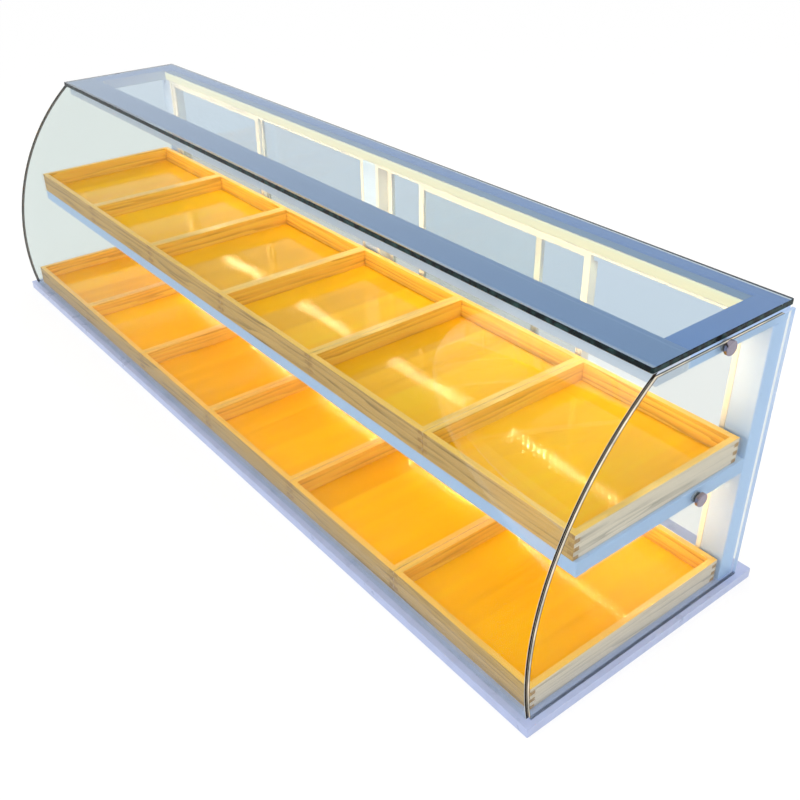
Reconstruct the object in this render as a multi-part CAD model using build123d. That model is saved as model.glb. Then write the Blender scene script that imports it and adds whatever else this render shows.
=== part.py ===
from build123d import *
import math
import os

os.makedirs("parts", exist_ok=True)

# All sizes are in millimetres
# X runs along the cabinet, -Y is the customer's side with the bent glass, Z is up

# Overall size
LENGTH = 2200.0
DEPTH = 600.0
HEIGHT = 600.0

# Base board
BASE_THICK = 20.0
BASE_EDGE = 2.0
END_MARGIN = 20.0
REAR_MARGIN = 36.0

# Bent front glass and its arc, seen from the end
GLASS_THICK = 8.0
ARC_RADIUS = 594.0
BULGE_MARGIN = 1.4
GLUE_GAP = 0.3
GLUE_LAP = 2.5
GLASS_OVERHANG = 3.0

# Flat top glass and side glasses
TOP_GLASS_THICK = 9.7
TOP_GLASS_DEEP = 349.0
TOP_GLASS_REAR = 2.0
SIDE_GLASS_THICK = 6.0
SIDE_GLASS_DROP = 4.0

# Steel tube frame
TUBE_WALL = 1.5
TUBE_ROUND = 2.0
POST_WIDTH = 50.0
POST_DEPTH = 40.0
TOP_TALL = 28.0
TOP_FRONT_CLEAR = 1.5
TOP_FRONT_WIDE = 76.0
TOP_SIDE_WIDE = 50.0
TOP_REAR_WIDE = 26.0
WIRE_HOLE = 9.0
WIRE_HOLE_INSET = 18.0
WIRE_HOLE_DROP = 13.0

# Middle shelf frame
SHELF_TOP = 302.0
SHELF_TUBE = 30.0
SHELF_DEEP = 424.0
CROSS_BAR_WIDE = 25.0

# Wooden trays
TRAY_COUNT = 6
TRAY_GAP = 1.0
TRAY_END_GAP = 6.0
TRAY_TALL = 50.0
BOARD_THICK = 12.0
FINGERS = 6
FLOOR_THICK = 5.0
FLOOR_UP = 5.0
FLOOR_GROOVE = 4.0
FLOOR_PLAY = 0.3
UPPER_FRONT_LAP = 2.0
UPPER_REAR_GAP = 18.0
LOWER_FRONT_GAP = 7.8
LOWER_REAR_GAP = 6.0
REST_GAP = 0.3

# Sliding glass doors and their tracks
DOOR_THICK = 9.0
LANE_PITCH = 25.0
LANE_PLAY = 0.8
TRACK_WALL = 1.2
TRACK_WEB = 1.5
TRACK_TALL = 10.0
JAMB_WIDE = 10.0
DOOR_TOP_PLAY = 2.5
DOOR_END_PLAY = 0.5
DOOR_OVERLAP = 35.0
STILE_WIDE = 16.0
RAIL_TALL = 16.0
PANE_THICK = 4.0
PANE_GROOVE = 6.0
PANE_PLAY = 0.2
PULL_THICK = 3.0
PULL_DEEP = 13.0
PULL_ROUND = 8.0
PULL_INSET = 24.0
DOOR_OPEN = 326.0

# Light channels
LIGHT_DEEP = 24.0
LIGHT_TALL = 23.0
SHELF_LIGHT_WIDE = 18.0
SHELF_LIGHT_TALL = 12.0
SHELF_LIGHT_INSET = 26.0
CHANNEL_WALL = 1.5
DIFFUSER_THICK = 2.0
DIFFUSER_PLAY = 0.2
LIGHT_END_GAP = 0.5

# Glass studs
STUD_INSET = 134.0
STUD_CAP = 26.0
STUD_CAP_TALL = 7.0
STUD_BEVEL = 1.5
STUD_SHANK = 10.0
STUD_HOLE_PLAY = 0.3
STUD_REACH = 5.0
SPACER_OUTER = 20.0

# Derived places
BASE_FRONT = -DEPTH / 2
BASE_REAR = DEPTH / 2
FRAME_X = LENGTH / 2 - END_MARGIN
REAR_Y = BASE_REAR - REAR_MARGIN
POST_Y = REAR_Y - POST_DEPTH
TOP_Z = HEIGHT - TOP_GLASS_THICK - GLUE_GAP
TOP_GLASS_BACK = REAR_Y + TOP_GLASS_REAR
ARC_TOP_Y = TOP_GLASS_BACK - TOP_GLASS_DEEP
TOP_UNDER = TOP_Z - TOP_TALL
SHELF_UNDER = SHELF_TOP - SHELF_TUBE
SHELF_FRONT_Y = POST_Y - SHELF_DEEP
CROSS_BAR_SPACING = FRAME_X / 2
STUD_Y = POST_Y - STUD_INSET
TOP_OPEN_REAR = REAR_Y - TOP_REAR_WIDE
POST_IN = FRAME_X - POST_WIDTH
GLASS_END = FRAME_X + GLASS_OVERHANG
UPPER_FRONT_Y = SHELF_FRONT_Y - UPPER_FRONT_LAP
UPPER_TRAY_DEEP = POST_Y - UPPER_REAR_GAP - UPPER_FRONT_Y
TRAY_PITCH = 2 * (FRAME_X - TRAY_END_GAP) / TRAY_COUNT
BAY_OUT = POST_IN - JAMB_WIDE
BAY_IN = POST_WIDTH / 2 + JAMB_WIDE
DOOR_WIDE = (BAY_OUT - BAY_IN + DOOR_OVERLAP) / 2 - DOOR_END_PLAY
DOOR_LOW = BASE_THICK + TRACK_WEB + REST_GAP
DOOR_HIGH = TOP_UNDER - TRACK_WEB - DOOR_TOP_PLAY
LANE_IN = POST_Y + TRACK_WALL + LANE_PLAY
LANE_OUT = LANE_IN + LANE_PITCH


def block(x0, x1, y0, y1, z0, z1):
    size = Box(x1 - x0, y1 - y0, z1 - z0)
    return Pos((x0 + x1) / 2, (y0 + y1) / 2, (z0 + z1) / 2) * size


def tube(x0, x1, y0, y1, z0, z1, axis, closed):
    bar = block(x0, x1, y0, y1, z0, z1)
    bar = fillet(bar.edges().filter_by(axis), TUBE_ROUND)
    end = -TUBE_WALL if closed else 1.0
    dx = -end if axis == Axis.X else TUBE_WALL
    dy = -end if axis == Axis.Y else TUBE_WALL
    dz = -end if axis == Axis.Z else TUBE_WALL
    return bar - block(x0 + dx, x1 - dx, y0 + dy, y1 - dy, z0 + dz, z1 - dz)


def mirrored(part):
    return mirror(part, Plane.YZ)


def save(node, *solids):
    shapes = [s for part in solids for s in part.solids()]
    whole = Compound(children=shapes) if len(shapes) > 1 else shapes[0]
    whole.label = node
    export_step(whole, f"parts/{node}.step")


# Base board
def base_board():
    board = block(-LENGTH / 2, LENGTH / 2, BASE_FRONT, BASE_REAR, 0, BASE_THICK)
    return fillet(board.edges().filter_by(Axis.Z), BASE_EDGE)


# Arc of the bent glass: it bulges as far as the base board's edge and ends under the top glass
ARC_Y = BASE_FRONT + BULGE_MARGIN + ARC_RADIUS
ARC_Z = TOP_Z - math.sqrt(ARC_RADIUS**2 - (ARC_Y - ARC_TOP_Y) ** 2)


def arc_at(radius, z):
    return ARC_Y - math.sqrt(radius**2 - (z - ARC_Z) ** 2), z


# The front rail and the lower trays stand just clear of the inside of the bent glass
TOP_FRONT_Y = arc_at(ARC_RADIUS - GLASS_THICK, TOP_Z)[0] + TOP_FRONT_CLEAR
TOP_OPEN_FRONT = TOP_FRONT_Y + TOP_FRONT_WIDE
LOWER_FRONT_Y = arc_at(ARC_RADIUS - GLASS_THICK, BASE_THICK)[0] + LOWER_FRONT_GAP
LOWER_TRAY_DEEP = POST_Y - LOWER_REAR_GAP - LOWER_FRONT_Y


def arc_edge(radius, z0, z1):
    middle = (z0 + z1) / 2
    return ThreePointArc(arc_at(radius, z0), arc_at(radius, middle), arc_at(radius, z1))


def bent_glass():
    low = BASE_THICK
    high = TOP_Z - GLUE_GAP
    outer = arc_edge(ARC_RADIUS, low, high)
    inner = arc_edge(ARC_RADIUS - GLASS_THICK, low, high)
    face = make_face([outer, inner, Line(outer @ 0, inner @ 0), Line(outer @ 1, inner @ 1)])
    return extrude(Plane.YZ * face, amount=GLASS_END, both=True)


def side_glass():
    low = BASE_THICK
    high = TOP_Z - SIDE_GLASS_DROP
    front = arc_edge(ARC_RADIUS - GLASS_THICK + GLUE_LAP, low, high)
    rest = Polyline(front @ 1, (REAR_Y, high), (REAR_Y, low), front @ 0)
    x0 = GLASS_END + GLUE_GAP
    pane = extrude(Plane.YZ.offset(x0) * make_face([front, rest]), amount=SIDE_GLASS_THICK)
    for z in stud_heights():
        pane -= along_x(STUD_SHANK / 2 + STUD_HOLE_PLAY, x0 - 1, x0 + SIDE_GLASS_THICK + 1, z)
    return pane


def top_glass():
    pane = block(-GLASS_END, GLASS_END, ARC_TOP_Y, TOP_GLASS_BACK, TOP_Z + GLUE_GAP, HEIGHT)
    pane = fillet(pane.edges().filter_by(Axis.Z), 3)
    return chamfer(pane.edges().group_by(Axis.Z)[-1], 0.8)


# Studs that hold the side glasses
def stud_heights():
    return TOP_Z - TOP_TALL / 2, SHELF_TOP - SHELF_TUBE / 2


def along_x(radius, x0, x1, z):
    rod = Cylinder(radius, x1 - x0)
    return Pos((x0 + x1) / 2, STUD_Y, z) * Rot(0, 90, 0) * rod


def stud(z):
    x0 = GLASS_END + GLUE_GAP + SIDE_GLASS_THICK
    cap = along_x(STUD_CAP / 2, x0, x0 + STUD_CAP_TALL, z)
    cap = chamfer(cap.edges().group_by(Axis.X)[-1], STUD_BEVEL)
    return cap + along_x(STUD_SHANK / 2, FRAME_X - STUD_REACH, x0, z)


def spacer(z):
    hole = along_x(STUD_SHANK / 2 + STUD_HOLE_PLAY, FRAME_X, GLASS_END + 1, z)
    return along_x(SPACER_OUTER / 2, FRAME_X, GLASS_END + GLUE_GAP, z) - hole


def stud_hole(bar, z):
    radius = STUD_SHANK / 2 + STUD_HOLE_PLAY
    return bar - along_x(radius, FRAME_X - TUBE_WALL - 1, FRAME_X + 1, z)


# Posts
def end_post():
    post = tube(POST_IN, FRAME_X, POST_Y, REAR_Y, BASE_THICK, TOP_UNDER, Axis.Z, False)
    for top in (TOP_UNDER, SHELF_UNDER):
        hole = Rot(90, 0, 0) * Cylinder(WIRE_HOLE / 2, 4 * TUBE_WALL)
        post -= Pos(FRAME_X - WIRE_HOLE_INSET, POST_Y, top - WIRE_HOLE_DROP) * hole
    return post


def centre_post():
    half = POST_WIDTH / 2
    return tube(-half, half, POST_Y, REAR_Y, BASE_THICK, TOP_UNDER, Axis.Z, False)


# Top frame
def top_front_rail():
    y1 = TOP_OPEN_FRONT
    return tube(-FRAME_X, FRAME_X, TOP_FRONT_Y, y1, TOP_UNDER, TOP_Z, Axis.X, True)


def top_rear_rail():
    y0 = TOP_OPEN_REAR
    return tube(-FRAME_X, FRAME_X, y0, REAR_Y, TOP_UNDER, TOP_Z, Axis.X, True)


def top_side_rail():
    x0 = FRAME_X - TOP_SIDE_WIDE
    y0 = TOP_OPEN_FRONT
    y1 = TOP_OPEN_REAR
    rail = tube(x0, FRAME_X, y0, y1, TOP_UNDER, TOP_Z, Axis.Y, False)
    return stud_hole(rail, stud_heights()[0])


# Shelf frame
def shelf_front_rail():
    y1 = SHELF_FRONT_Y + SHELF_TUBE
    return tube(-FRAME_X, FRAME_X, SHELF_FRONT_Y, y1, SHELF_UNDER, SHELF_TOP, Axis.X, True)


def shelf_side_rail():
    x0 = FRAME_X - SHELF_TUBE
    y0 = SHELF_FRONT_Y + SHELF_TUBE
    rail = tube(x0, FRAME_X, y0, POST_Y, SHELF_UNDER, SHELF_TOP, Axis.Y, False)
    return stud_hole(rail, stud_heights()[1])


def shelf_rear_rail():
    half = FRAME_X - SHELF_TUBE
    y0 = POST_Y - SHELF_TUBE
    return tube(-half, half, y0, POST_Y, SHELF_UNDER, SHELF_TOP, Axis.X, False)


def shelf_cross_bar(x):
    half = CROSS_BAR_WIDE / 2
    y0 = SHELF_FRONT_Y + SHELF_TUBE
    y1 = POST_Y - SHELF_TUBE
    return tube(x - half, x + half, y0, y1, SHELF_UNDER, SHELF_TOP, Axis.Y, False)


# Tray boards: even fingers belong to the front and rear boards, odd ones to the sides
def finger_cut(x, y, z, odd):
    step = TRAY_TALL / FINGERS
    cuts = []
    for k in range(FINGERS):
        if k % 2 == odd:
            low = z + k * step
            cuts.append(block(x, x + BOARD_THICK, y, y + BOARD_THICK, low, low + step))
    return cuts


def tray_groove(x0, x1, y0, y1, z):
    inset = BOARD_THICK - FLOOR_GROOVE - FLOOR_PLAY
    low = z + FLOOR_UP - FLOOR_PLAY
    high = z + FLOOR_UP + FLOOR_THICK + FLOOR_PLAY
    return block(x0 + inset, x1 - inset, y0 + inset, y1 - inset, low, high)


def tray_boards(x0, y0, z, deep):
    wide = TRAY_PITCH - TRAY_GAP
    x1 = x0 + wide
    y1 = y0 + deep
    high = z + TRAY_TALL
    corners = [(x0, y0), (x1 - BOARD_THICK, y0), (x0, y1 - BOARD_THICK)]
    corners.append((x1 - BOARD_THICK, y1 - BOARD_THICK))
    groove = tray_groove(x0, x1, y0, y1, z)
    boards = []
    for low_y in (y0, y1 - BOARD_THICK):
        board = block(x0, x1, low_y, low_y + BOARD_THICK, z, high)
        for x, y in corners:
            if y == low_y:
                board -= finger_cut(x, y, z, 1)
        boards.append(board - groove)
    for low_x in (x0, x1 - BOARD_THICK):
        board = block(low_x, low_x + BOARD_THICK, y0, y1, z, high)
        for x, y in corners:
            if x == low_x:
                board -= finger_cut(x, y, z, 0)
        boards.append(board - groove)
    return boards


def tray_floor(x0, y0, z, deep):
    inset = BOARD_THICK - FLOOR_GROOVE
    x1 = x0 + TRAY_PITCH - TRAY_GAP
    low = z + FLOOR_UP
    return block(x0 + inset, x1 - inset, y0 + inset, y0 + deep - inset, low, low + FLOOR_THICK)


# Sliding doors: grooved bars round a pane, and a fin-shaped pull on the outer side
def pane_box(x0, y0):
    inset = STILE_WIDE - PANE_GROOVE
    rise = RAIL_TALL - PANE_GROOVE
    y = y0 + (DOOR_THICK - PANE_THICK) / 2
    x1 = x0 + DOOR_WIDE - inset
    return x0 + inset, x1, y, y + PANE_THICK, DOOR_LOW + rise, DOOR_HIGH - rise


def door_bars(x0, y0):
    x1 = x0 + DOOR_WIDE
    y1 = y0 + DOOR_THICK
    bars = [block(x0, x0 + STILE_WIDE, y0, y1, DOOR_LOW, DOOR_HIGH)]
    bars.append(block(x1 - STILE_WIDE, x1, y0, y1, DOOR_LOW, DOOR_HIGH))
    left = x0 + STILE_WIDE
    right = x1 - STILE_WIDE
    bars.append(block(left, right, y0, y1, DOOR_LOW, DOOR_LOW + RAIL_TALL))
    bars.append(block(left, right, y0, y1, DOOR_HIGH - RAIL_TALL, DOOR_HIGH))
    low_x, high_x, low_y, high_y, low_z, high_z = pane_box(x0, y0)
    p = PANE_PLAY
    slot = block(low_x - p, high_x + p, low_y - p, high_y + p, low_z - p, high_z + p)
    return [bar - slot for bar in bars]


def door_pull(x0, y0, at_left):
    x = x0 if at_left else x0 + DOOR_WIDE - PULL_THICK
    y = y0 + DOOR_THICK
    fin = block(x, x + PULL_THICK, y, y + PULL_DEEP, DOOR_LOW + PULL_INSET, DOOR_HIGH - PULL_INSET)
    outer = fin.edges().filter_by(Axis.X).group_by(Axis.Y)[-1]
    return fillet(outer, PULL_ROUND)


def door(node, x0, y0, at_left):
    save(f"{node}_frame", *door_bars(x0, y0), door_pull(x0, y0, at_left))
    save(f"{node}_pane", block(*pane_box(x0, y0)))


def track(x0, x1, z0, up):
    web_z = z0 if up else z0 - TRACK_WEB
    rail = block(x0, x1, POST_Y, REAR_Y, web_z, web_z + TRACK_WEB)
    fin_z = z0 if up else z0 - TRACK_TALL
    for lane in (LANE_IN, LANE_OUT):
        for y in (lane - LANE_PLAY - TRACK_WALL, lane + DOOR_THICK + LANE_PLAY):
            rail += block(x0, x1, y, y + TRACK_WALL, fin_z, fin_z + TRACK_TALL)
    return rail


def tracks(z0, up):
    return [track(-BAY_OUT, -BAY_IN, z0, up), track(BAY_IN, BAY_OUT, z0, up)]


def jamb(x):
    return block(x, x + JAMB_WIDE, POST_Y, REAR_Y, BASE_THICK, TOP_UNDER)


# Light channels with a milky cover
def top_light():
    half = FRAME_X - TOP_SIDE_WIDE - LIGHT_END_GAP
    y1 = TOP_OPEN_REAR
    y0 = y1 - LIGHT_DEEP
    z1 = TOP_UNDER + LIGHT_TALL
    shell = block(-half, half, y0, y1, TOP_UNDER, z1)
    w = CHANNEL_WALL
    shell -= block(-half + w, half - w, y0 - 1, y1 - w, TOP_UNDER + w, z1 - w)
    gap = w + DIFFUSER_PLAY
    cover_y = y0 + DIFFUSER_THICK
    cover = block(-half + gap, half - gap, y0, cover_y, TOP_UNDER + gap, z1 - gap)
    return shell, cover


def shelf_light():
    half = FRAME_X - SHELF_TUBE - LIGHT_END_GAP
    y0 = POST_Y - SHELF_LIGHT_INSET
    y1 = y0 + SHELF_LIGHT_WIDE
    z0 = SHELF_UNDER - SHELF_LIGHT_TALL
    shell = block(-half, half, y0, y1, z0, SHELF_UNDER)
    w = CHANNEL_WALL
    shell -= block(-half + w, half - w, y0 + w, y1 - w, z0 - 1, SHELF_UNDER - w)
    gap = w + DIFFUSER_PLAY
    cover = block(-half + gap, half - gap, y0 + gap, y1 - gap, z0, z0 + DIFFUSER_THICK)
    return shell, cover


# Write every node
def main():
    save("base_board", base_board())
    save("bent_front_glass", bent_glass())
    save("top_glass", top_glass())
    save("side_glass_right", side_glass())
    save("side_glass_left", mirrored(side_glass()))
    studs = [stud(z) for z in stud_heights()]
    spacers = [spacer(z) for z in stud_heights()]
    save("glass_studs", *studs, *[mirrored(s) for s in studs])
    save("stud_spacers", *spacers, *[mirrored(s) for s in spacers])
    save("rear_post_right", end_post())
    save("rear_post_left", mirrored(end_post()))
    save("rear_post_centre", centre_post())
    save("top_front_rail", top_front_rail())
    save("top_rear_rail", top_rear_rail())
    save("top_side_rail_right", top_side_rail())
    save("top_side_rail_left", mirrored(top_side_rail()))
    save("shelf_front_rail", shelf_front_rail())
    save("shelf_rear_rail", shelf_rear_rail())
    save("shelf_side_rail_right", shelf_side_rail())
    save("shelf_side_rail_left", mirrored(shelf_side_rail()))
    save("shelf_cross_bar_left", shelf_cross_bar(-CROSS_BAR_SPACING))
    save("shelf_cross_bar_centre", shelf_cross_bar(0))
    save("shelf_cross_bar_right", shelf_cross_bar(CROSS_BAR_SPACING))
    for name, parts in (("top_light", top_light()), ("shelf_light", shelf_light())):
        save(f"{name}_channel", parts[0])
        save(f"{name}_cover", parts[1])
    save("door_track_bottom", *tracks(BASE_THICK, True))
    save("door_track_top", *tracks(TOP_UNDER, False))
    jambs = [jamb(-POST_IN), jamb(-BAY_IN), jamb(POST_WIDTH / 2), jamb(BAY_OUT)]
    save("door_jambs", *jambs)
    left = -BAY_OUT + DOOR_END_PLAY
    right = BAY_OUT - DOOR_END_PLAY - DOOR_WIDE
    middle = BAY_IN + DOOR_END_PLAY
    door("door_1", left, LANE_IN, True)
    door("door_2", -middle - DOOR_WIDE, LANE_OUT, False)
    door("door_3", middle, LANE_OUT, True)
    door("door_4", right - DOOR_OPEN, LANE_IN, False)
    rows = (("upper", UPPER_FRONT_Y, SHELF_TOP, UPPER_TRAY_DEEP),)
    rows += (("lower", LOWER_FRONT_Y, BASE_THICK, LOWER_TRAY_DEEP),)
    for row, y0, z, deep in rows:
        for k in range(TRAY_COUNT):
            x0 = -FRAME_X + TRAY_END_GAP + k * TRAY_PITCH + TRAY_GAP / 2
            low = z + REST_GAP
            save(f"tray_{row}_{k + 1}_boards", *tray_boards(x0, y0, low, deep))
            save(f"tray_{row}_{k + 1}_floor", tray_floor(x0, y0, low, deep))


main()
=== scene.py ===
import math

import bpy
from bpy.props import FloatProperty, FloatVectorProperty, IntProperty, PointerProperty
from mathutils import Matrix, Vector


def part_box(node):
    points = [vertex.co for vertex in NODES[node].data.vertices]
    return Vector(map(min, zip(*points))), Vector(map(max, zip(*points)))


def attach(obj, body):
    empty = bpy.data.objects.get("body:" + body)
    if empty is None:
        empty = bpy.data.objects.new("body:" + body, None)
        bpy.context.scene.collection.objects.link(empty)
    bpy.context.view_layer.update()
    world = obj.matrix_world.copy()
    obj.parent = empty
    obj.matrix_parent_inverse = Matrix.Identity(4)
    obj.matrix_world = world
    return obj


bl_info = {
    "name": "Bread display rack",
    "version": (1, 0, 0),
    "blender": (4, 5, 0),
    "location": "View3D > Sidebar > Bread rack",
    "description": "Finishes, light strip, glue lines and stage of a bread display rack",
    "category": "Object",
}

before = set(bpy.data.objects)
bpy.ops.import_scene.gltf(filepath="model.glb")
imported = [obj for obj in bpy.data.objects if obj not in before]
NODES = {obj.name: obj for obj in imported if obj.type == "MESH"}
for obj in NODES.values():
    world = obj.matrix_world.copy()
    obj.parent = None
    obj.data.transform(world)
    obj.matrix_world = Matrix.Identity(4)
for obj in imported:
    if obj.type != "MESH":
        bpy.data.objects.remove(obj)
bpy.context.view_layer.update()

COORDS = "ShaderNodeTexCoord"
FACING = "ShaderNodeNewGeometry"
RAYS = "ShaderNodeLightPath"
SPLIT = "ShaderNodeSeparateXYZ"
JOIN = "ShaderNodeCombineXYZ"
MATH = "ShaderNodeMath"
VECTOR = "ShaderNodeVectorMath"
MIX = "ShaderNodeMix"
NOISE = "ShaderNodeTexNoise"
RAMP = "ShaderNodeValToRGB"
SPREAD = "ShaderNodeMapRange"
BUMP = "ShaderNodeBump"
SHINE = "ShaderNodeBsdfPrincipled"
BLEND = "ShaderNodeMixShader"
OUTPUT = "ShaderNodeOutputMaterial"

BENT_LOW, BENT_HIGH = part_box("bent_front_glass")
SIDE_LOW, SIDE_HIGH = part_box("side_glass_right")
CHANNEL_LOW, CHANNEL_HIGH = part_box("top_light_channel")
COVER_LOW, COVER_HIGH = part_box("top_light_cover")
SHELF_COVER_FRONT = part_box("shelf_light_cover")[0].y
FRONT_RAIL_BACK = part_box("top_front_rail")[1].y
TRAYS = range(1, 7)


# Colours and nodes

def colour(code):
    """sRGB hex to the linear colour that shaders take."""
    parts = [int(code[k:k + 2], 16) / 255 for k in (1, 3, 5)]
    return [c / 12.92 if c <= 0.04045 else ((c + 0.055) / 1.055) ** 2.4 for c in parts] + [1.0]


def shade(tone, k):
    """The same colour, lighter or darker by a factor."""
    return [min(1.0, c * k) for c in tone[:3]] + [1.0]


def add(tree, kind, settings=None, inputs=None, stops=()):
    """Adds a node with its settings, and with a value or a link on each input. A colour ramp also
    has stops, each a place and a colour."""
    node = tree.nodes.new(kind)
    for name, value in (settings or {}).items():
        setattr(node, name, value)
    for key, value in (inputs or {}).items():
        if isinstance(value, bpy.types.Node):
            value = value.outputs[0]
        if isinstance(value, bpy.types.NodeSocket):
            tree.links.new(value, node.inputs[key])
        else:
            node.inputs[key].default_value = value
    if stops:
        marks = node.color_ramp.elements
        while len(marks) < len(stops):
            marks.new(0.5)
        for mark, (place, tone) in zip(marks, stops):
            mark.position = place
            mark.color = colour(tone) if isinstance(tone, str) else tone
    return node


def blank(name):
    """A new material with an empty node tree."""
    material = bpy.data.materials.new(name)
    material.use_nodes = True
    material.node_tree.nodes.clear()
    return material, material.node_tree


def dress(names, material):
    """Gives CAD nodes one material, on their objects' slots."""
    for name in names:
        node = NODES[name]
        if not node.material_slots:
            node.data.materials.append(None)
        for place in node.material_slots:
            place.link = "OBJECT"
            place.material = material


# Materials of the frame, the glass and the fittings

def powder_coat(name, tone, lines=()):
    """Powder-coated steel tube: even satin skin, very fine orange peel. It has paler lines along X, each
    given by its Y, half its width and how pale it is; one along a rounded edge is a painted highlight."""
    material, tree = blank(name)
    spot = add(tree, COORDS).outputs["Object"]
    # orange peel of about 1 mm, and a tone that drifts over some 170 mm
    peel = add(tree, NOISE, inputs={"Vector": spot, "Scale": 900.0, "Detail": 2.0})
    cloud = add(tree, NOISE, inputs={"Vector": spot, "Scale": 6.0, "Detail": 2.0})
    paint = add(tree, RAMP, inputs={0: cloud}, stops=[(0.3, shade(tone, 0.95)), (0.7, shade(tone, 1.03))])
    at = add(tree, SPLIT, inputs={0: spot})
    # each line mixes near-white into the paint; on a rounded edge that is a painted highlight
    for middle, half_wide, pale in lines:
        near = add(tree, MATH, {"operation": "COMPARE"}, {0: at.outputs["Y"], 1: middle, 2: half_wide})
        part = add(tree, MATH, {"operation": "MULTIPLY"}, {0: near, 1: pale})
        mixed = add(tree, MIX, {"data_type": "RGBA"}, {0: part, 6: paint, 7: colour("#F4F8FF")})
        paint = mixed.outputs[2]
    bump = add(tree, BUMP, inputs={"Strength": 0.06, "Distance": 0.0003, "Height": peel})
    gloss = add(tree, SPREAD, inputs={"Value": cloud, "To Min": 0.3, "To Max": 0.4})
    coat = add(tree, SHINE, inputs={
        "Base Color": paint, "Roughness": gloss, "Normal": bump, "Coat Weight": 0.15,
        "Coat Roughness": 0.15})
    add(tree, OUTPUT, inputs={"Surface": coat})
    return material


def lacquered_board(name, tone):
    """Lacquered board: smooth semi-gloss paint with faint scuffs that catch the light."""
    material, tree = blank(name)
    spot = add(tree, COORDS).outputs["Object"]
    # scuffs from 30 mm down to 1 mm
    scuff = add(tree, NOISE, inputs={"Vector": spot, "Scale": 30.0, "Detail": 6.0})
    paint = add(tree, RAMP, inputs={0: scuff}, stops=[(0.35, tone), (0.62, shade(tone, 1.08))])
    gloss = add(tree, SPREAD, inputs={"Value": scuff, "To Min": 0.22, "To Max": 0.38})
    lacquer = add(tree, SHINE, inputs={"Base Color": paint, "Roughness": gloss, "Coat Weight": 0.2})
    add(tree, OUTPUT, inputs={"Surface": lacquer})
    return material


def sheet_glass(name, tone, sky, sheer, axis, edges, dark, light, streak, bands=()):
    """Polished sheet glass: lamps and a sheer share of sight lines go straight through its faces, and
    what they mirror has the tint sky. Its ground edges keep a deep colour with short streaks. For
    "ends" these are the faces that look along the axis, and for "rim" all the others. A band is a
    middle, a nearest and a farthest distance and a colour. It colours the edges between those
    distances from the middle, and a coordinate that is None doesn't count."""
    material, tree = blank(name)
    spot = add(tree, COORDS).outputs["Object"]
    normal = add(tree, SPLIT, inputs={0: add(tree, FACING).outputs["Normal"]})
    size = add(tree, MATH, {"operation": "ABSOLUTE"}, {0: normal.outputs[axis]})
    rule = "GREATER_THAN" if edges == "ends" else "LESS_THAN"
    on_edge = add(tree, MATH, {"operation": rule}, {0: size, 1: 0.5})
    clear = add(tree, SHINE, inputs={
        "Base Color": tone, "Roughness": 0.0, "Transmission Weight": 1.0, "IOR": 1.5, "Specular Tint": sky})

    grain = add(tree, NOISE, inputs={"Vector": spot, "Scale": streak, "Detail": 3.0})
    deep = add(tree, RAMP, inputs={0: grain}, stops=[(0.42, dark), (0.66, light)])
    for middle, nearest, farthest, line in bands:
        only = [0.0 if c is None else 1.0 for c in middle]
        kept = add(tree, VECTOR, {"operation": "MULTIPLY"}, {0: spot, 1: only})
        away = add(tree, VECTOR, {"operation": "DISTANCE"}, {0: kept, 1: [c or 0.0 for c in middle]})
        band = add(tree, MATH, {"operation": "COMPARE"}, {
            0: away.outputs["Value"], 1: (nearest + farthest) / 2, 2: (farthest - nearest) / 2})
        mixed = add(tree, MIX, {"data_type": "RGBA"}, {0: band, 6: deep, 7: colour(line)})
        deep = mixed.outputs[2]
    edge = add(tree, SHINE, inputs={"Base Color": deep, "Roughness": 0.15, "Specular IOR Level": 0.12})
    whole = add(tree, BLEND, inputs={0: on_edge, 1: clear, 2: edge})

    ray = add(tree, RAYS)
    on_face = add(tree, MATH, {"operation": "SUBTRACT"}, {0: 1.0, 1: on_edge})
    share = add(tree, MATH, {"operation": "MULTIPLY"}, {0: on_face, 1: sheer})
    sight = add(tree, MATH, {"operation": "MULTIPLY"}, {0: share, 1: ray.outputs["Is Camera Ray"]})
    lamps = add(tree, MATH, {"operation": "MAXIMUM"}, {
        0: ray.outputs["Is Shadow Ray"], 1: ray.outputs["Is Diffuse Ray"]})
    passing = add(tree, MATH, {"operation": "MAXIMUM"}, {0: lamps, 1: sight})
    straight = add(tree, "ShaderNodeBsdfTransparent", inputs={0: tone})
    glass = add(tree, BLEND, inputs={0: passing, 1: whole, 2: straight})
    add(tree, OUTPUT, inputs={"Surface": glass})
    return material


def chromed_steel(name, tone):
    """Chromed steel: a mirror with a faint turned grain."""
    material, tree = blank(name)
    spot = add(tree, COORDS).outputs["Object"]
    # grain of 2 mm, coarser than the real one, so that it shows
    grain = add(tree, NOISE, inputs={"Vector": spot, "Scale": 500.0, "Detail": 3.0})
    gloss = add(tree, SPREAD, inputs={"Value": grain, "To Min": 0.08, "To Max": 0.2})
    metal = add(tree, RAMP, inputs={0: grain}, stops=[(0.3, shade(tone, 0.8)), (0.7, tone)])
    mirror = add(tree, SHINE, inputs={"Base Color": metal, "Metallic": 1.0, "Roughness": gloss})
    add(tree, OUTPUT, inputs={"Surface": mirror})
    return material


def moulded_plastic(name, tone):
    """Moulded plastic with an uneven gloss from handling."""
    material, tree = blank(name)
    spot = add(tree, COORDS).outputs["Object"]
    # patches of about 5 mm
    haze = add(tree, NOISE, inputs={"Vector": spot, "Scale": 200.0})
    gloss = add(tree, SPREAD, inputs={"Value": haze, "To Min": 0.2, "To Max": 0.4})
    plastic = add(tree, SHINE, inputs={"Base Color": tone, "Roughness": gloss, "IOR": 1.49})
    add(tree, OUTPUT, inputs={"Surface": plastic})
    return material


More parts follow.
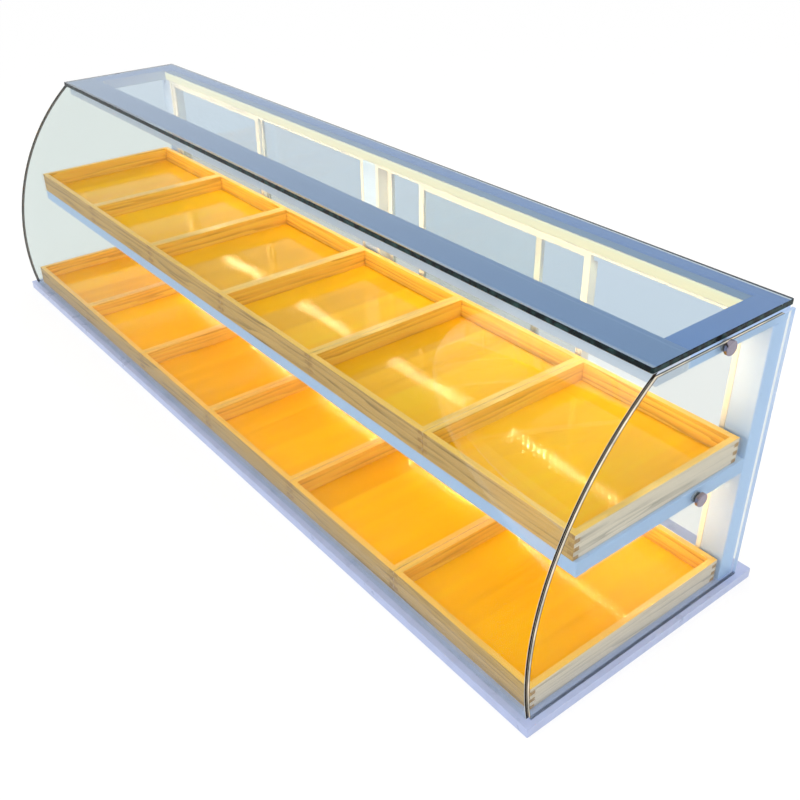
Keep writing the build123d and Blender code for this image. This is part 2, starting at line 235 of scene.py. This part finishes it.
def coated_aluminium(name, tone):
    """Extruded aluminium under a thin white coat, with faint draw lines."""
    material, tree = blank(name)
    spot = add(tree, COORDS).outputs["Object"]
    # draw lines 2.5 mm apart and 250 mm long, coarser than the real ones, so that they show
    drawn = add(tree, "ShaderNodeMapping", inputs={"Vector": spot, "Scale": (400.0, 400.0, 4.0)})
    line = add(tree, NOISE, inputs={"Vector": drawn, "Scale": 1.0, "Detail": 2.0})
    paint = add(tree, RAMP, inputs={0: line}, stops=[(0.3, shade(tone, 0.97)), (0.7, shade(tone, 1.04))])
    gloss = add(tree, SPREAD, inputs={"Value": line, "To Min": 0.3, "To Max": 0.42})
    coat = add(tree, SHINE, inputs={"Base Color": paint, "Roughness": gloss})
    add(tree, OUTPUT, inputs={"Surface": coat})
    return material


# Materials of the light strips

def opal_cover(name, light, strength, low, high):
    """Opal acrylic over a light strip: an even glow, paler towards its top edge."""
    material, tree = blank(name)
    spot = add(tree, COORDS).outputs["Object"]
    at = add(tree, SPLIT, inputs={0: spot})
    rise = add(tree, SPREAD, inputs={"Value": at.outputs["Z"], "From Min": low, "From Max": high})
    glow = add(tree, RAMP, inputs={0: rise}, stops=[(0.0, light), (0.6, light), (1.0, "#FFF3BE")])
    acrylic = add(tree, SHINE, inputs={
        "Base Color": colour("#6E6650"), "Roughness": 0.35, "Emission Color": glow,
        "Emission Strength": strength})
    add(tree, OUTPUT, inputs={"Surface": acrylic})
    return material


def dotted_cover(name, light, middle, sizes):
    """Thin opal acrylic over a light strip: each diode shows through as a bright dot."""
    material, tree = blank(name)
    spot = add(tree, COORDS).outputs["Object"]
    at = add(tree, SPLIT, inputs={0: spot})
    along = add(tree, MATH, {"operation": "PINGPONG"}, {0: at.outputs["X"], 1: sizes.diode_pitch / 2})
    aside = add(tree, MATH, {"operation": "SUBTRACT"}, {0: at.outputs["Y"], 1: middle})
    flat = add(tree, JOIN, inputs={0: along, 1: aside})
    away = add(tree, VECTOR, {"operation": "LENGTH"}, {0: flat})
    # full glow over a diode's middle, and down to that of the cover at its edge
    dot = add(tree, SPREAD, {"interpolation_type": "SMOOTHSTEP"}, {
        "Value": away.outputs["Value"], "From Min": sizes.diode_size / 4, "From Max": sizes.diode_size / 2,
        "To Min": sizes.diode_glow, "To Max": 1.0})
    acrylic = add(tree, SHINE, inputs={
        "Base Color": colour("#FFF3D6"), "Roughness": 0.35, "Emission Color": light,
        "Emission Strength": dot})
    add(tree, OUTPUT, inputs={"Surface": acrylic})
    return material


def phosphor(name, light, strength):
    """Yellow phosphor window of a light diode, very bright."""
    material, tree = blank(name)
    spot = add(tree, COORDS).outputs["Object"]
    # grains of 0.5 mm
    grain = add(tree, NOISE, inputs={"Vector": spot, "Scale": 2000.0})
    tone = add(tree, RAMP, inputs={0: grain}, stops=[(0.3, "#F2C23C"), (0.7, "#FFE27A")])
    window = add(tree, SHINE, inputs={
        "Base Color": tone, "Roughness": 0.5, "Emission Color": light, "Emission Strength": strength})
    add(tree, OUTPUT, inputs={"Surface": window})
    return material


# Materials of the trays

def pine_boards(name, low, high, sizes, tones):
    """Planed pine boards with finger-jointed corners: pale and bare outside, glossy inside. The amber of
    the inner faces and rims is painted warm light from the strips. Grain runs along each board, and a
    finger shows its brown end grain."""
    material, tree = blank(name)
    at = add(tree, SPLIT, inputs={0: add(tree, COORDS).outputs["Object"]})
    facing = add(tree, VECTOR, {"operation": "ABSOLUTE"}, {0: add(tree, FACING).outputs["Normal"]})
    look = add(tree, SPLIT, inputs={0: facing})

    # how far a point is from the tray's nearest end, and from its nearest long side
    along = add(tree, MATH, {"operation": "ADD"}, {0: at.outputs["X"], 1: sizes.tray_pitch * 3})
    end = add(tree, MATH, {"operation": "PINGPONG"}, {0: along, 1: sizes.tray_pitch / 2})
    middle = add(tree, MATH, {"operation": "SUBTRACT"}, {0: at.outputs["Y"], 1: (low.y + high.y) / 2})
    aside = add(tree, MATH, {"operation": "ABSOLUTE"}, {0: middle})
    side = add(tree, MATH, {"operation": "SUBTRACT"}, {0: (high.y - low.y) / 2, 1: aside})
    # trays stand two half gaps apart, and a point counts as on a face within the slack
    half_gap, slack = 0.0005, 0.0002
    near_end = add(tree, MATH, {"operation": "LESS_THAN"}, {
        0: end, 1: sizes.board_thick + half_gap + slack})
    near_side = add(tree, MATH, {"operation": "LESS_THAN"}, {0: side, 1: sizes.board_thick + slack})

    # fingers of the end boards lie at every second height
    rise = add(tree, MATH, {"operation": "SUBTRACT"}, {0: at.outputs["Z"], 1: low.z})
    count = add(tree, MATH, {"operation": "DIVIDE"}, {0: rise, 1: (high.z - low.z) / sizes.fingers})
    level = add(tree, MATH, {"operation": "FLOOR"}, {0: count})
    odd = add(tree, MATH, {"operation": "MODULO"}, {0: level, 1: 2.0})
    crossed = add(tree, MATH, {"operation": "MULTIPLY"}, {0: near_end, 1: odd})
    straight = add(tree, MATH, {"operation": "SUBTRACT"}, {0: 1.0, 1: crossed})
    long_board = add(tree, MATH, {"operation": "MULTIPLY"}, {0: near_side, 1: straight})
    short = add(tree, MATH, {"operation": "SUBTRACT"}, {0: 1.0, 1: long_board})
    to_x = add(tree, MATH, {"operation": "MULTIPLY"}, {0: look.outputs["X"], 1: long_board})
    to_y = add(tree, MATH, {"operation": "MULTIPLY"}, {0: look.outputs["Y"], 1: short})
    cut = add(tree, MATH, {"operation": "ADD"}, {0: to_x, 1: to_y})
    end_grain = add(tree, MATH, {"operation": "GREATER_THAN"}, {0: cut, 1: 0.5})

    # growth lines 5 to 15 mm apart over fibres of 8 mm, all drawn out twentyfold along the board
    slow_x = add(tree, SPREAD, inputs={"Value": long_board, "To Min": 1.0, "To Max": 1 / 20})
    slow_y = add(tree, SPREAD, inputs={"Value": short, "To Min": 1.0, "To Max": 1 / 20})
    drawn_x = add(tree, MATH, {"operation": "MULTIPLY"}, {0: at.outputs["X"], 1: slow_x})
    drawn_y = add(tree, MATH, {"operation": "MULTIPLY"}, {0: at.outputs["Y"], 1: slow_y})
    drawn = add(tree, JOIN, inputs={0: drawn_x, 1: drawn_y, 2: at.outputs["Z"]})
    fibre = add(tree, NOISE, inputs={
        "Vector": drawn, "Scale": 130.0, "Detail": 3.0, "Roughness": 0.55, "Distortion": 0.3})
    growth = add(tree, "ShaderNodeTexWave", {"bands_direction": "Z", "wave_profile": "SAW"}, {
        "Vector": drawn, "Scale": 22.0, "Distortion": 14.0, "Detail": 2.0, "Detail Scale": 1.4})
    lines = add(tree, MIX, {"data_type": "FLOAT"}, {0: 0.6, 2: growth, 3: fibre})

    # the inner faces are glossy and the outer ones bare; the inner faces' amber and the rims' tone are
    # painted warm light
    amber = add(tree, RAMP, inputs={0: lines}, stops=[
        (0.25, shade(tones.amber, 0.6)), (0.45, shade(tones.amber, 0.95)), (0.8, shade(tones.amber, 1.2))])
    rim = add(tree, RAMP, inputs={0: lines}, stops=[(0.2, shade(tones.rim, 0.8)), (0.5, tones.rim)])
    pale = add(tree, RAMP, inputs={0: lines}, stops=[
        (0.25, shade(tones.pine, 0.6)), (0.42, tones.pine), (0.8, shade(tones.pine, 1.12))])
    # the outer faces of the front and rear boards are browner: partly a browner pine, partly painted shade
    tan = add(tree, RAMP, inputs={0: lines}, stops=[
        (0.25, shade(tones.tan, 0.5)), (0.42, tones.tan), (0.8, shade(tones.tan, 1.2))])
    brown = add(tree, RAMP, inputs={0: fibre}, stops=[(0.3, "#A9793F"), (0.7, "#CBA066")])
    at_end = add(tree, MATH, {"operation": "LESS_THAN"}, {0: end, 1: half_gap + slack * 2})
    at_side = add(tree, MATH, {"operation": "LESS_THAN"}, {0: side, 1: slack * 2})
    end_face = add(tree, MATH, {"operation": "MULTIPLY"}, {0: at_end, 1: look.outputs["X"]})
    side_face = add(tree, MATH, {"operation": "MULTIPLY"}, {0: at_side, 1: look.outputs["Y"]})
    faces = add(tree, MATH, {"operation": "ADD"}, {0: end_face, 1: side_face})
    outside = add(tree, MATH, {"operation": "GREATER_THAN"}, {0: faces, 1: 0.5})
    up = add(tree, MATH, {"operation": "GREATER_THAN"}, {0: look.outputs["Z"], 1: 0.5})
    plain = add(tree, MIX, {"data_type": "RGBA"}, {0: long_board, 6: pale, 7: tan})
    outer = add(tree, MIX, {"data_type": "RGBA"}, {0: end_grain, 6: plain.outputs[2], 7: brown})
    # painted warm light: amber on the inner faces, and the rims' tone on their tops
    inner = add(tree, MIX, {"data_type": "RGBA"}, {0: up, 6: amber, 7: rim})
    tone = add(tree, MIX, {"data_type": "RGBA"}, {0: outside, 6: inner.outputs[2], 7: outer.outputs[2]})

    gloss = add(tree, SPREAD, inputs={"Value": outside, "To Min": 0.28, "To Max": 0.5})
    bump = add(tree, BUMP, inputs={"Strength": 0.15, "Distance": 0.0004, "Height": lines})
    wood = add(tree, SHINE, inputs={
        "Base Color": tone.outputs[2], "Roughness": gloss, "Normal": bump, "Coat Weight": 0.2,
        "Coat Roughness": 0.15})
    add(tree, OUTPUT, inputs={"Surface": wood})
    return material


def glued_panel(name, sizes, tones):
    """Edge-glued pine panel under glossy amber varnish: strips that differ in tone, grain front to back."""
    material, tree = blank(name)
    spot = add(tree, COORDS).outputs["Object"]
    at = add(tree, SPLIT, inputs={0: spot})
    strip = add(tree, MATH, {"operation": "DIVIDE"}, {0: at.outputs["X"], 1: sizes.strip_wide})
    number = add(tree, MATH, {"operation": "FLOOR"}, {0: strip})
    chance = add(tree, "ShaderNodeTexWhiteNoise", {"noise_dimensions": "1D"}, {"W": number})

    # fibres of 11 mm and clouds of 70 mm, drawn out twentyfold, from another place in each strip
    shift = add(tree, MATH, {"operation": "MULTIPLY"}, {0: chance, 1: 7.0})
    slow = add(tree, MATH, {"operation": "MULTIPLY"}, {0: at.outputs["Y"], 1: 1 / 20})
    moved = add(tree, MATH, {"operation": "ADD"}, {0: slow, 1: shift})
    drawn = add(tree, JOIN, inputs={0: at.outputs["X"], 1: moved, 2: at.outputs["Z"]})
    fibre = add(tree, NOISE, inputs={"Vector": drawn, "Scale": 90.0, "Detail": 4.0, "Roughness": 0.55})
    cloud = add(tree, NOISE, inputs={"Vector": drawn, "Scale": 14.0, "Detail": 2.0})
    lines = add(tree, MIX, {"data_type": "FLOAT"}, {0: 0.55, 2: fibre, 3: cloud})
    warm = add(tree, SPREAD, inputs={"Value": chance, "To Min": -0.16, "To Max": 0.16})
    mixed = add(tree, MATH, {"operation": "ADD"}, {0: lines, 1: warm})
    tone = add(tree, RAMP, inputs={0: mixed}, stops=[
        (0.32, shade(tones.floor, 0.87)), (0.5, tones.floor), (0.68, shade(tones.floor, 1.13))])

    # the thin panel is cupped by about 1 mm
    cup = add(tree, NOISE, inputs={"Vector": spot, "Scale": 3.0, "Detail": 0.0})
    bump = add(tree, BUMP, inputs={"Strength": 1.0, "Distance": 0.003, "Height": cup})
    # wiped out on a slant, so each highlight is drawn out across the row of diodes
    wiped = add(tree, JOIN, inputs={0: 0.79, 1: -0.61, 2: 0.0})
    varnish = add(tree, SHINE, inputs={
        "Base Color": tone, "Roughness": 0.06, "Anisotropic": 1.0, "Tangent": wiped, "Normal": bump,
        "Specular IOR Level": 0.35, "Specular Tint": colour("#FFE6B0")})
    add(tree, OUTPUT, inputs={"Surface": varnish})
    return material


# Modelling steps

def start_box(name, low, high):
    """A cube stretched between two corners, with its place in its mesh."""
    low, high = Vector(low), Vector(high)
    bpy.ops.object.select_all(action="DESELECT")
    bpy.ops.mesh.primitive_cube_add(size=1, location=(low + high) / 2, scale=high - low)
    piece = bpy.context.object
    piece.name = piece.data.name = name
    bpy.ops.object.transform_apply(location=True, rotation=True, scale=True)
    return piece


def edit_faces(piece, test):
    """Goes into edit mode with only the faces selected that pass the test."""
    bpy.ops.object.mode_set(mode="EDIT")
    bpy.ops.mesh.select_mode(type="FACE")
    bpy.ops.mesh.select_all(action="DESELECT")
    bpy.ops.object.mode_set(mode="OBJECT")
    for face in piece.data.polygons:
        face.select = test(face)
    bpy.ops.object.mode_set(mode="EDIT")


def done_editing():
    """Points all faces outwards and leaves edit mode."""
    bpy.ops.mesh.select_all(action="SELECT")
    bpy.ops.mesh.normals_make_consistent(inside=False)
    bpy.ops.object.mode_set(mode="OBJECT")


def bevelled(piece, width, steps):
    """Rounds a piece's edges and applies that."""
    bpy.ops.object.modifier_add(type="BEVEL")
    round_off = piece.modifiers[-1]
    round_off.width = width
    round_off.segments = steps
    round_off.limit_method = "ANGLE"
    bpy.ops.object.modifier_apply(modifier=round_off.name)


def repeated(piece, count, pitch):
    """Repeats a piece along X and applies that."""
    bpy.ops.object.modifier_add(type="ARRAY")
    row = piece.modifiers[-1]
    row.count = count
    row.use_relative_offset = False
    row.use_constant_offset = True
    row.constant_offset_displace = (pitch, 0, 0)
    bpy.ops.object.modifier_apply(modifier=row.name)


# Sizes and colours that a user may change

def length(name, description, default, least=0.0):
    """A length that a user may change."""
    return FloatProperty(
        name=name, description=description, default=default, min=least, unit="LENGTH", precision=4)


def finish(name, description, code):
    """A colour that a user may change."""
    return FloatVectorProperty(
        name=name, description=description, subtype="COLOR", size=4, default=colour(code))


class RackSizes(bpy.types.PropertyGroup):
    diode_pitch: length("Diode spacing", "From one light diode to the next", 1 / 60, 0.005)
    diode_size: length("Diode size", "Side of a square light diode", 0.005, 0.001)
    diode_glow: FloatProperty(
        name="Diode brightness", description="How much brighter than white a diode is",
        default=360.0, min=0.0)
    tape_wide: length("Tape width", "Width of the tape that carries the diodes", 0.008, 0.001)
    tape_thick: length("Tape thickness", "Thickness of the tape over the diodes", 0.0005, 0.0001)
    bead: length("Glue bead", "Radius of the clear bead along the bent glass", 0.0005, 0.0002)
    arc_radius: length("Glass radius", "Outer radius of the bent glass", 0.594, 0.1)
    arc_height: length("Arc centre height", "Height of the bent glass's centre line", 0.13212)
    side_glass_step: length("Glass step", "How far the side glass stays behind the bent glass", 0.0055)
    tray_pitch: length("Tray spacing", "From one tray to the next along the rack", 0.358, 0.1)
    board_thick: length("Board thickness", "Thickness of a tray's boards", 0.012, 0.001)
    fingers: IntProperty(
        name="Fingers", description="Fingers of a corner joint over its height", default=6, min=2)
    strip_wide: length("Floor strip", "Width of one glued strip of a tray's floor", 0.0895, 0.01)


class RackTones(bpy.types.PropertyGroup):
    # the frame's powder coat is white; this pale blue is painted blue sky light
    steel: finish("Steel tube", "Powder coat of the tube frame", "#BAD4FF")
    # a less blue copy of the frame's tone: painted light, for the light that falls on the rail's front face
    front_rail_painted_light: finish("Top front rail", "Powder coat of the top front rail, less blue", "#D3D9EA")
    # the base board is white; its pale blue-grey is painted sky light
    base: finish("Base board", "Lacquer of the base board", "#AAB6DA")
    aluminium: finish("Aluminium", "Coat of the door frames, tracks and light channels", "#EAE8E2")
    glass: finish("Clear glass", "Tint of the bent glass, the sides and the doors", "#F8FBFA")
    top_glass: finish("Top glass", "Tint of the top glass", "#BCCFDE")
    chrome: finish("Chrome", "Chromed caps of the glass studs", "#9D96A3")
    light: finish("Light", "Warm light of the strips", "#FFE8AC")
    pine: finish("Bare pine", "Outer faces of the trays' side boards", "#F0DDCA")
    # browner front and rear outer faces: partly the pine's own tone, partly painted shade
    tan: finish("Browner pine", "Outer faces of the trays' front and rear boards", "#D2A766")
    # the amber of the boards' inner faces and rims is painted warm light from the strips
    amber: finish("Amber boards", "Varnished inner faces of the tray boards", "#FFCA58")
    rim: finish("Board rims", "Top edges of the tray boards", "#FFCE66")
    floor: finish("Amber floors", "Varnished floors of the trays", "#FFBE1A")


# One operator for each group of like pieces

class RACK_OT_steel(bpy.types.Operator):
    """Powder coat on the tube frame, lacquer on the base board"""
    bl_idname = "rack.steel"
    bl_label = "Tube frame and base"

    def execute(self, context):
        tones = context.scene.rack_tones
        tubes = [name for name in NODES if name.endswith(("_rail", "_rail_left", "_rail_right"))
                 or name.startswith(("rear_post", "shelf_cross_bar"))]
        # the tube frame takes the pale blue tone, painted sky light on white powder coat
        dress(tubes, powder_coat("powder_coated_steel", tones.steel))
        # the front rail has a paler line 13 mm before its back edge and a painted highlight along that
        # rounded edge, and the rear rail a paler line along its middle
        front_lines_and_highlight = [(FRONT_RAIL_BACK - 0.013, 0.0012, 0.55), (FRONT_RAIL_BACK, 0.0025, 0.95)]
        # the front rail takes its own less blue copy of the powder coat, painted light on its front face
        dress(["top_front_rail"], powder_coat("powder_coated_steel_front_painted_light", tones.front_rail_painted_light, front_lines_and_highlight))
        rear_low, rear_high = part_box("top_rear_rail")
        rear_lines = [((rear_low.y + rear_high.y) / 2, 0.0008, 0.4)]
        dress(["top_rear_rail"], powder_coat("powder_coated_steel_rear", tones.steel, rear_lines))
        # the base board's blue-grey tone is painted sky light on white lacquer
        dress(["base_board"], lacquered_board("lacquered_board", tones.base))
        return {"FINISHED"}


class RACK_OT_glass(bpy.types.Operator):
    """Bent, side and top glass, each with its own edges"""
    bl_idname = "rack.glass"
    bl_label = "Cabinet glass"

    def execute(self, context):
        sizes, tones = context.scene.rack_sizes, context.scene.rack_tones
        reach = sizes.arc_radius
        inner, outer = BENT_HIGH.x, SIDE_HIGH.x
        # the middles of the bands: the arc's axis, the rack's middle, a side glass's back and its foot
        arc = (None, BENT_LOW.y + reach, sizes.arc_height)
        centre = (0.0, None, None)
        back = (None, SIDE_HIGH.y, None)
        foot = (None, None, SIDE_LOW.z)
        # the widths of the bands: the painted highlight on the bent glass's arris, then the side glass's
        # dark line against the bent glass, its outer arris, its back edge and its foot
        fine, dark_line, arris, back_edge, foot_edge = 0.0008, 0.0022, 0.001, 0.03, 0.004
        # an arris runs on past the edge, so that it takes all of it
        past = 0.01
        clear = {"tone": tones.glass, "sky": colour("#5A6470"), "sheer": 0.88, "axis": "X"}
        # the bent glass's near-white arris band is a painted highlight
        dress(["bent_front_glass"], sheet_glass(
            "bent_float_glass", **clear, edges="ends", dark="#070605", light="#3F3024", streak=160.0,
            bands=[(arc, reach - fine, reach + past, "#E4E8EA")]))
        # the side glass's ground edges are cream, a painted reflection of the warm light inside
        dress(["side_glass_left", "side_glass_right"], sheet_glass(
            "side_float_glass", **clear, edges="rim", dark="#B9B4A8", light="#F1DFC4", streak=25.0,
            bands=[
                (centre, inner, inner + dark_line, "#0B0907"),
                (centre, outer - arris, outer + past, "#4A4038"),
                (back, 0.0, back_edge, "#C4D6F2"), (foot, 0.0, foot_edge, "#8E9DBC")]))
        dress(["top_glass"], sheet_glass(
            "tinted_float_glass", tones.top_glass, sky=colour("#587CB4"), sheer=0.0, axis="Z", edges="rim",
            dark="#061216", light="#24403F", streak=60.0))
        return {"FINISHED"}


class RACK_OT_studs(bpy.types.Operator):
    """Chromed glass studs and their clear spacers"""
    bl_idname = "rack.studs"
    bl_label = "Glass studs"

    def execute(self, context):
        dress(["glass_studs"], chromed_steel("chromed_steel", context.scene.rack_tones.chrome))
        dress(["stud_spacers"], moulded_plastic("clear_moulded_plastic", colour("#9CA0A8")))
        return {"FINISHED"}


class RACK_OT_lights(bpy.types.Operator):
    """Light channels with their opal covers, and the diode tape under the top one"""
    bl_idname = "rack.lights"
    bl_label = "Light strips"

    def execute(self, context):
        sizes, tones = context.scene.rack_sizes, context.scene.rack_tones
        dress(["top_light_channel", "shelf_light_channel"],
              coated_aluminium("coated_aluminium_channel", tones.aluminium))
        dress(["top_light_cover"], opal_cover("opal_acrylic", tones.light, 1.5, COVER_LOW.z, COVER_HIGH.z))
        shelf_row = SHELF_COVER_FRONT + sizes.tape_wide / 2
        dress(["shelf_light_cover"], dotted_cover("opal_acrylic_dotted", tones.light, shelf_row, sizes))

        # the tape stays 5 mm short of the channel's ends and 0.5 mm behind its front
        end_gap, front_gap = 0.005, 0.0005
        half_long = (CHANNEL_HIGH.x - CHANNEL_LOW.x) / 2 - end_gap
        front = CHANNEL_LOW.y + front_gap
        under = CHANNEL_LOW.z
        bottom = under - sizes.tape_thick
        tape = start_box("diode_tape", (-half_long, front, bottom),
                         (half_long, front + sizes.tape_wide, under))
        bevelled(tape, sizes.tape_thick / 4, 1)
        tape.data.materials.append(moulded_plastic("white_tape", colour("#F4F2EC")))

        # one diode with a sunk phosphor window, repeated along the tape
        tall, sunk, border = 0.0008, 0.0002, sizes.diode_size * 0.08
        count = int(half_long * 2 / sizes.diode_pitch)
        first = -(count - 1) / 2 * sizes.diode_pitch
        middle = front + sizes.tape_wide / 2
        half = sizes.diode_size / 2
        diodes = start_box("diodes", (first - half, middle - half, bottom - tall),
                           (first + half, middle + half, bottom))
        diodes.data.materials.append(moulded_plastic("white_housing", colour("#FBF9F2")))
        diodes.data.materials.append(phosphor("phosphor_window", tones.light, sizes.diode_glow))
        edit_faces(diodes, lambda face: face.normal.z < -0.9)
        bpy.ops.mesh.inset(thickness=border)
        bpy.ops.transform.translate(value=(0, 0, sunk))
        diodes.active_material_index = 1
        bpy.ops.object.material_slot_assign()
        done_editing()
        repeated(diodes, count, sizes.diode_pitch)

        for piece in (tape, diodes):
            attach(piece, "frame")
        return {"FINISHED"}


class RACK_OT_glue(bpy.types.Operator):
    """Clear glue bead in the corner of bent glass and side glass, at each end"""
    bl_idname = "rack.glue"
    bl_label = "Glue beads"

    def execute(self, context):
        sizes = context.scene.rack_sizes
        centre_y, centre_z = BENT_LOW.y + sizes.arc_radius, sizes.arc_height
        reach = sizes.arc_radius - sizes.side_glass_step + sizes.bead / 2
        # a bead starts just above the bent glass's foot and ends just below its top
        above_foot, below_top = 0.002, 0.008
        foot = math.asin((BENT_LOW.z + above_foot - centre_z) / reach)
        head = math.asin((BENT_HIGH.z - below_top - centre_z) / reach)
        silicone = moulded_plastic("clear_silicone", colour("#8E867A"))
        for side, name in ((1, "glue_bead_right"), (-1, "glue_bead_left")):
            x = side * (BENT_HIGH.x + sizes.bead / 2)
            bpy.ops.object.select_all(action="DESELECT")
            bpy.ops.mesh.primitive_circle_add(
                vertices=6, radius=sizes.bead, fill_type="NGON", rotation=(-foot, 0, 0),
                location=(x, centre_y - reach * math.cos(foot), centre_z + reach * math.sin(foot)))
            bead = bpy.context.object
            bead.name = bead.data.name = name
            bpy.ops.object.transform_apply(location=True, rotation=True, scale=True)
            bpy.ops.object.mode_set(mode="EDIT")
            bpy.ops.mesh.select_all(action="SELECT")
            bpy.ops.mesh.spin(
                steps=48, angle=head - foot, center=(x, centre_y, centre_z), axis=(1, 0, 0))
            done_editing()
            bpy.ops.object.shade_smooth()
            bead.data.materials.append(silicone)
            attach(bead, "frame")
        return {"FINISHED"}


class RACK_OT_doors(bpy.types.Operator):
    """Door frames, panes, tracks and jambs"""
    bl_idname = "rack.doors"
    bl_label = "Sliding doors"

    def execute(self, context):
        tones = context.scene.rack_tones
        doors = [name for name in NODES if name.startswith("door_")]
        panes = [name for name in doors if name.endswith("_pane")]
        dress([name for name in doors if name not in panes],
              coated_aluminium("coated_aluminium", tones.aluminium))
        dress(panes, sheet_glass(
            "door_float_glass", tones.glass, sky=colour("#5A6470"), sheer=0.5, axis="Y", edges="rim",
            dark="#5E7A74", light="#A9BDB6", streak=60.0))
        return {"FINISHED"}


class RACK_OT_trays(bpy.types.Operator):
    """Pine boards and amber floors of both rows of trays"""
    bl_idname = "rack.trays"
    bl_label = "Trays"

    def execute(self, context):
        sizes, tones = context.scene.rack_sizes, context.scene.rack_tones
        panel = glued_panel("varnished_pine_panel", sizes, tones)
        for row in ("upper", "lower"):
            low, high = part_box(f"tray_{row}_1_boards")
            boards = pine_boards(f"finger_jointed_pine_{row}", low, high, sizes, tones)
            dress([f"tray_{row}_{k}_boards" for k in TRAYS], boards)
            dress([f"tray_{row}_{k}_floor" for k in TRAYS], panel)
        return {"FINISHED"}


# The stage

def seen(tree):
    """1 for a ray from the camera, also by way of a mirror or through glass, and 0 for another."""
    ray = add(tree, RAYS)
    shiny = add(tree, MATH, {"operation": "ADD"}, {
        0: ray.outputs["Is Camera Ray"], 1: ray.outputs["Is Glossy Ray"]})
    return add(tree, MATH, {"operation": "ADD", "use_clamp": True}, {
        0: shiny, 1: ray.outputs["Is Transmission Ray"]})


def area_lamp(name, at, towards, wide, deep, power, tone="#FFFFFF", spread=180.0):
    """A soft rectangular lamp that shines towards a point and isn't seen itself."""
    bpy.ops.object.select_all(action="DESELECT")
    bpy.ops.object.light_add(type="AREA", location=at)
    lamp = bpy.context.object
    lamp.name = lamp.data.name = name
    lamp.data.shape = "RECTANGLE"
    lamp.data.size, lamp.data.size_y = wide, deep
    lamp.data.energy = power
    lamp.data.color = colour(tone)[:3]
    lamp.data.spread = math.radians(spread)
    lamp.rotation_euler = (Vector(towards) - Vector(at)).to_track_quat("-Z", "Y").to_euler()
    lamp.visible_camera = lamp.visible_glossy = lamp.visible_transmission = False


class RACK_OT_stage(bpy.types.Operator):
    """White floor and world, soft daylight, the warm light inside, and the camera"""
    bl_idname = "rack.stage"
    bl_label = "Stage and camera"

    def execute(self, context):
        bpy.ops.object.select_all(action="DESELECT")
        bpy.ops.mesh.primitive_plane_add(size=40, location=(0, 0, -0.0002))
        ground = context.object
        ground.name = ground.data.name = "stage_floor"
        # three quarters white for the camera, and the rest matte, which keeps the shadow
        material, tree = blank("stage_white")
        share = add(tree, MATH, {"operation": "MULTIPLY"}, {0: seen(tree), 1: 0.75})
        matte = add(tree, "ShaderNodeBsdfDiffuse", inputs={0: colour("#F4F4F4")})
        white = add(tree, "ShaderNodeEmission", inputs={"Color": colour("#FFFFFF"), "Strength": 1.04})
        floor = add(tree, BLEND, inputs={0: share, 1: matte, 2: white})
        add(tree, OUTPUT, inputs={"Surface": floor})
        ground.data.materials.append(material)

        world = context.scene.world or bpy.data.worlds.new("world")
        context.scene.world = world
        world.use_nodes = True
        tree = world.node_tree
        tree.nodes.clear()
        level = add(tree, SPREAD, inputs={"Value": seen(tree), "To Min": 0.95, "To Max": 1.0})
        sky = add(tree, "ShaderNodeBackground", inputs={"Color": colour("#FFFFFF"), "Strength": level})
        add(tree, "ShaderNodeOutputWorld", inputs={"Surface": sky})

        area_lamp("day_lamp", (1.0, -1.8, 3.0), (0, 0, 0.2), wide=3.0, deep=3.0, power=36.0)
        # the light of the strips: a glow above the shelf and one below it, then the shelf strip itself
        for name, height, power in (("inner_glow", 0.5, 4.2), ("lower_glow", 0.2, 2.8)):
            area_lamp(name, (0, -0.1, height), (0, 0.3, height - 0.04), wide=2.1, deep=0.06, power=power,
                      tone="#FFD29A", spread=60.0)
        area_lamp("shelf_strip_lamp", (0, 0.18, 0.257), (0, -0.08, 0.02), wide=2.05, deep=0.02, power=2.5)

        # the camera was fitted to the photo's corners
        turn, rise, roll = math.radians(52.23), math.radians(32.09), math.radians(-0.95)
        back = Vector((math.sin(turn) * math.cos(rise), -math.cos(turn) * math.cos(rise), math.sin(rise)))
        right = Vector((0, 0, 1)).cross(back).normalized()
        up = back.cross(right)
        rolled_right = right * math.cos(roll) + up * math.sin(roll)
        rolled_up = up * math.cos(roll) - right * math.sin(roll)
        bpy.ops.object.camera_add(location=(1.77463, -1.06999, 1.27668))
        camera = context.object
        camera.name = camera.data.name = "photo_camera"
        camera.rotation_euler = Matrix((rolled_right, rolled_up, back)).transposed().to_euler()
        camera.data.lens = 42.775
        camera.data.sensor_width = 36.0
        context.scene.camera = camera
        context.scene.view_settings.view_transform = "Standard"
        return {"FINISHED"}


OPERATORS = (
    RACK_OT_steel, RACK_OT_glass, RACK_OT_studs, RACK_OT_lights,
    RACK_OT_glue, RACK_OT_doors, RACK_OT_trays, RACK_OT_stage,
)


class RACK_PT_panel(bpy.types.Panel):
    """Lists the rack's steps with its sizes and colours"""
    bl_idname = "RACK_PT_panel"
    bl_label = "Bread rack"
    bl_space_type = "VIEW_3D"
    bl_region_type = "UI"
    bl_category = "Bread rack"

    def draw(self, context):
        column = self.layout.column()
        for step in OPERATORS:
            column.operator(step.bl_idname)
        for group in (context.scene.rack_sizes, context.scene.rack_tones):
            for name in group.__annotations__:
                column.prop(group, name)


CLASSES = (RackSizes, RackTones) + OPERATORS + (RACK_PT_panel,)


def register():
    for item in CLASSES:
        bpy.utils.register_class(item)
    bpy.types.Scene.rack_sizes = PointerProperty(type=RackSizes)
    bpy.types.Scene.rack_tones = PointerProperty(type=RackTones)


def unregister():
    del bpy.types.Scene.rack_tones
    del bpy.types.Scene.rack_sizes
    for item in reversed(CLASSES):
        bpy.utils.unregister_class(item)


def main():
    register()
    for step in OPERATORS:
        group, name = step.bl_idname.split(".")
        getattr(getattr(bpy.ops, group), name)()


if __name__ == "__main__":
    main()
